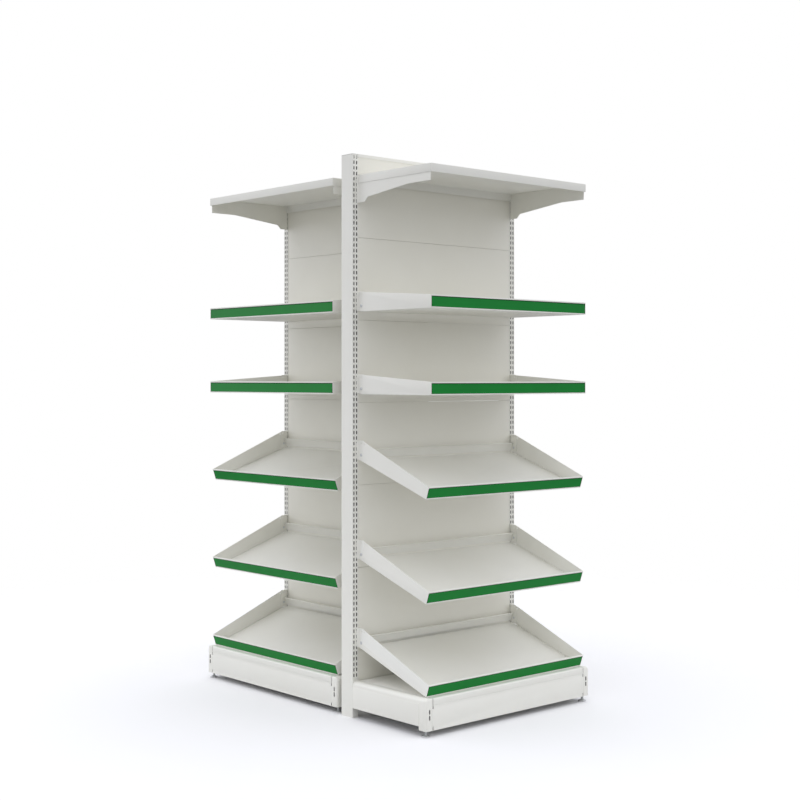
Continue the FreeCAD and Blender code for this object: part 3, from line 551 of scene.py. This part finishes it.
class SHELVING_OT_caps(bpy.types.Operator):
    """Makes the moulded caps in the tops of the uprights"""

    bl_idname = "shelving.caps"
    bl_label = "Upright caps"

    def execute(self, context):
        sizes = context.scene.shelving_sizes
        mesh = bmesh.new()
        for post in UPRIGHTS:
            low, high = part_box(post)
            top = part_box("upright_caps")[1].z
            span = Vector((high.x - low.x, high.y - low.y, top - high.z))
            middle = Vector(((high.x + low.x) / 2, (high.y + low.y) / 2, (top + high.z) / 2))
            plate = bmesh.ops.create_cube(mesh, size=1.0, matrix=Matrix.Translation(middle)
                                          @ Matrix.Diagonal((*span, 1)))["verts"]
            edges = {edge for vert in plate for edge in vert.link_edges}
            corners = [edge for edge in edges if edge.verts[0].co.xy == edge.verts[1].co.xy]
            bevelled(mesh, corners, CAP_CORNER * MM, CORNER_STEPS)
            crown = [edge for edge in mesh.edges if edge.calc_face_angle(0) > SQUARE
                     and min(vert.co.z for vert in edge.verts) > top - TOUCH]
            bevelled(mesh, crown, sizes.cap_round, CROWN_STEPS)
            inner = Vector((span.x - 2 * CAP_WALL * MM, span.y - 2 * CAP_WALL * MM,
                            PLUG_LENGTH * MM))
            seat = Vector((middle.x, middle.y, high.z - inner.z / 2))
            bmesh.ops.create_cube(mesh, size=1.0, matrix=Matrix.Translation(seat)
                                  @ Matrix.Diagonal((*inner, 1)))
        add_piece("upright_cap_mouldings", mesh, "cap_plastic", "frame", ["upright_caps"])
        return {"FINISHED"}


class SHELVING_OT_rivets(bpy.types.Operator):
    """Makes the pivot rivets that the trays turn on"""

    bl_idname = "shelving.rivets"
    bl_label = "Pivot rivets"

    def execute(self, context):
        crown = HALF_BAY - RIVET_HEAD * MM
        mesh = bmesh.new()
        for face in FACES:
            for index in TRAYS:
                for side in (-1, 1):
                    rivet = bmesh.new()
                    turned(rivet, RIVET_PROFILE, (0, 1, 0))
                    rivet.transform(Matrix.Translation((PIVOT.x, -crown, PIVOT.z)))
                    if side > 0:
                        bmesh.ops.mirror(rivet, geom=rivet.verts[:] + rivet.edges[:]
                                         + rivet.faces[:], axis="Y", merge_dist=-1)
                        behind = [v for v in rivet.verts if v.co.y < 0]
                        bmesh.ops.delete(rivet, geom=behind, context="VERTS")
                    rivet.transform(station_frame(face, index))
                    data = bpy.data.meshes.new("rivet")
                    rivet.to_mesh(data)
                    rivet.free()
                    mesh.from_mesh(data)
                    bpy.data.meshes.remove(data)
        add_piece("pivot_rivet_turnings", mesh, "zinc", "frame", ["tray_pivot_rivets"])
        return {"FINISHED"}


class SHELVING_OT_feet(bpy.types.Operator):
    """Makes the levelling feet: a moulded pad, a plated cone and a threaded stem"""

    bl_idname = "shelving.feet"
    bl_label = "Levelling feet"

    def execute(self, context):
        pitch = context.scene.shelving_sizes.thread / MM
        for face in FACES:
            for side in SIDES:
                name = "levelling_foot_%s_%s" % (face, side)
                low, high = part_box(name)
                centre = Vector(((low.x + high.x) / 2, (low.y + high.y) / 2, low.z))
                tip = (high.z - low.z) / MM
                profile = list(CONE_PROFILE)
                along = THREAD_START
                while along < tip - pitch:
                    profile += [(THREAD_ROOT, along), (THREAD_CREST, along + pitch / 2)]
                    along += pitch
                profile += [(THREAD_TIP, tip), (0, tip)]
                for part, slot, turning, replaced in (("_stem", "zinc", profile, [name]),
                                                      ("_pad", "pad_plastic", PAD_PROFILE, [])):
                    mesh = bmesh.new()
                    turned(mesh, turning, (0, 0, 1))
                    mesh.transform(Matrix.Translation(centre))
                    add_piece(name + part, mesh, slot, "foot_%s_%s" % (face, side), replaced)
        return {"FINISHED"}


class SHELVING_OT_finishes(bpy.types.Operator):
    """Gives each steel piece of the frame its coat"""

    bl_idname = "shelving.finishes"
    bl_label = "Coats"

    def execute(self, context):
        finishes = context.scene.shelving_finishes
        slots = {row["node"]: row["material_slot"] for row in frame["record"]["subparts"]}
        for name, part in frame["nodes"].items():
            material = finish(slots[name])
            if name in UPRIGHTS:
                # the inside of each upright's tube takes the dark colour, as painted shade seen through the slots
                low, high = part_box(name)
                half = (high - low) / 2 - Vector((POST_SKIN, POST_SKIN, 0))
                material = coat_material("powder_coated_" + name, finishes.coat,
                                         finishes.coat_thin_and_highlight, ((low + high) / 2, half))
            part.data.materials.clear()
            part.data.materials.append(material)
        return {"FINISHED"}


class SHELVING_OT_stage(bpy.types.Operator):
    """Sets the floor, the soft lights and the camera"""

    bl_idname = "shelving.stage"
    bl_label = "Studio"

    def execute(self, context):
        scene = context.scene
        studio = scene.shelving_studio
        mesh = bmesh.new()
        bmesh.ops.create_circle(mesh, cap_ends=True, segments=96, radius=4.5)
        data = bpy.data.meshes.new("studio_floor")
        mesh.to_mesh(data)
        mesh.free()
        floor = bpy.data.objects.new("studio_floor", data)
        scene.collection.objects.link(floor)
        data.materials.append(floor_material(scene.shelving_finishes))

        eye = bpy.data.cameras.new("camera")
        eye.lens = studio.lens
        eye.shift_y = studio.rise
        eye.dof.use_dof = False
        eye.clip_end = 200
        camera = bpy.data.objects.new("camera", eye)
        scene.collection.objects.link(camera)
        camera.location = studio.eye
        camera.rotation_euler = (math.radians(90), 0, studio.heading)
        scene.camera = camera

        world = bpy.data.worlds.new("studio_sky")
        scene.world = world
        world.use_nodes = True
        tree = world.node_tree
        tree.nodes.clear()
        # an even dome, a little stronger overhead and weaker below the floor's level
        way = node(tree, "ShaderNodeTexCoord").outputs["Generated"]
        height = node(tree, "ShaderNodeSeparateXYZ", Vector=way).outputs["Z"]
        dome = node(tree, "ShaderNodeMapRange", Value=height, From_Min=-0.05, From_Max=0.05,
                    To_Min=studio.below, To_Max=studio.sky)
        top = node(tree, "ShaderNodeMapRange", Value=height, From_Min=0.3, From_Max=0.9,
                   To_Min=0.0, To_Max=studio.overhead)
        both = node(tree, "ShaderNodeMath", {"operation": "ADD"}, i0=dome.outputs["Result"],
                    i1=top.outputs["Result"])
        even = node(tree, "ShaderNodeBackground", Color=studio.light, Strength=both.outputs[0])
        white = node(tree, "ShaderNodeBackground", Color=(1.0, 1.0, 1.0, 1.0), Strength=1.0)
        seen = node(tree, "ShaderNodeLightPath")
        mix = node(tree, "ShaderNodeMixShader", i0=seen.outputs["Is Camera Ray"],
                   i1=even.outputs[0], i2=white.outputs[0])
        node(tree, "ShaderNodeOutputWorld", Surface=mix.outputs[0])

        for name, place, size, power in (
                ("soft_corner", (-5.0, -3.5, 1.8), 3.5, studio.corner),
                ("soft_left", (-2.0, -6.0, 2.2), 4.0, studio.left),
                ("soft_right", (6.0, 1.5, 2.2), 4.0, studio.right)):
            lamp = bpy.data.lights.new(name, "AREA")
            lamp.shape = "DISK"
            lamp.size = size
            lamp.energy = power
            lamp.color = studio.light[:3]
            light = bpy.data.objects.new(name, lamp)
            scene.collection.objects.link(light)
            light.location = place
            aim = Vector((0, 0, 1.1)) - Vector(place)
            light.rotation_euler = aim.to_track_quat("-Z", "Y").to_euler()
        scene.view_settings.view_transform = "Standard"
        return {"FINISHED"}


class SHELVING_PT_panel(bpy.types.Panel):
    """Lists the unit's pieces, finishes and sizes"""

    bl_idname = "SHELVING_PT_panel"
    bl_label = "Shelving unit"
    bl_space_type = "VIEW_3D"
    bl_region_type = "UI"
    bl_category = "Shelving"

    def draw(self, context):
        for group in ("shelving_finishes", "shelving_sizes", "shelving_studio"):
            values = getattr(context.scene, group)
            for name in values.__annotations__:
                self.layout.prop(values, name)
        for operator in OPERATORS:
            self.layout.operator(operator.bl_idname)


GROUPS = {"shelving_finishes": ShelvingFinishes, "shelving_sizes": ShelvingSizes,
          "shelving_studio": ShelvingStudio}
OPERATORS = (SHELVING_OT_finishes, SHELVING_OT_sheet_metal, SHELVING_OT_price_strips,
             SHELVING_OT_caps, SHELVING_OT_rivets, SHELVING_OT_feet, SHELVING_OT_stage)


def register():
    for item in (*GROUPS.values(), *OPERATORS, SHELVING_PT_panel):
        bpy.utils.register_class(item)
    for name, group in GROUPS.items():
        setattr(bpy.types.Scene, name, bpy.props.PointerProperty(type=group))


def unregister():
    for name in GROUPS:
        delattr(bpy.types.Scene, name)
    for item in reversed((*GROUPS.values(), *OPERATORS, SHELVING_PT_panel)):
        bpy.utils.unregister_class(item)


def main():
    register()
    bpy.ops.shelving.finishes()
    bpy.ops.shelving.sheet_metal()
    bpy.ops.shelving.price_strips()
    bpy.ops.shelving.caps()
    bpy.ops.shelving.rivets()
    bpy.ops.shelving.feet()
    bpy.ops.shelving.stage()


if __name__ == "__main__":
    main()
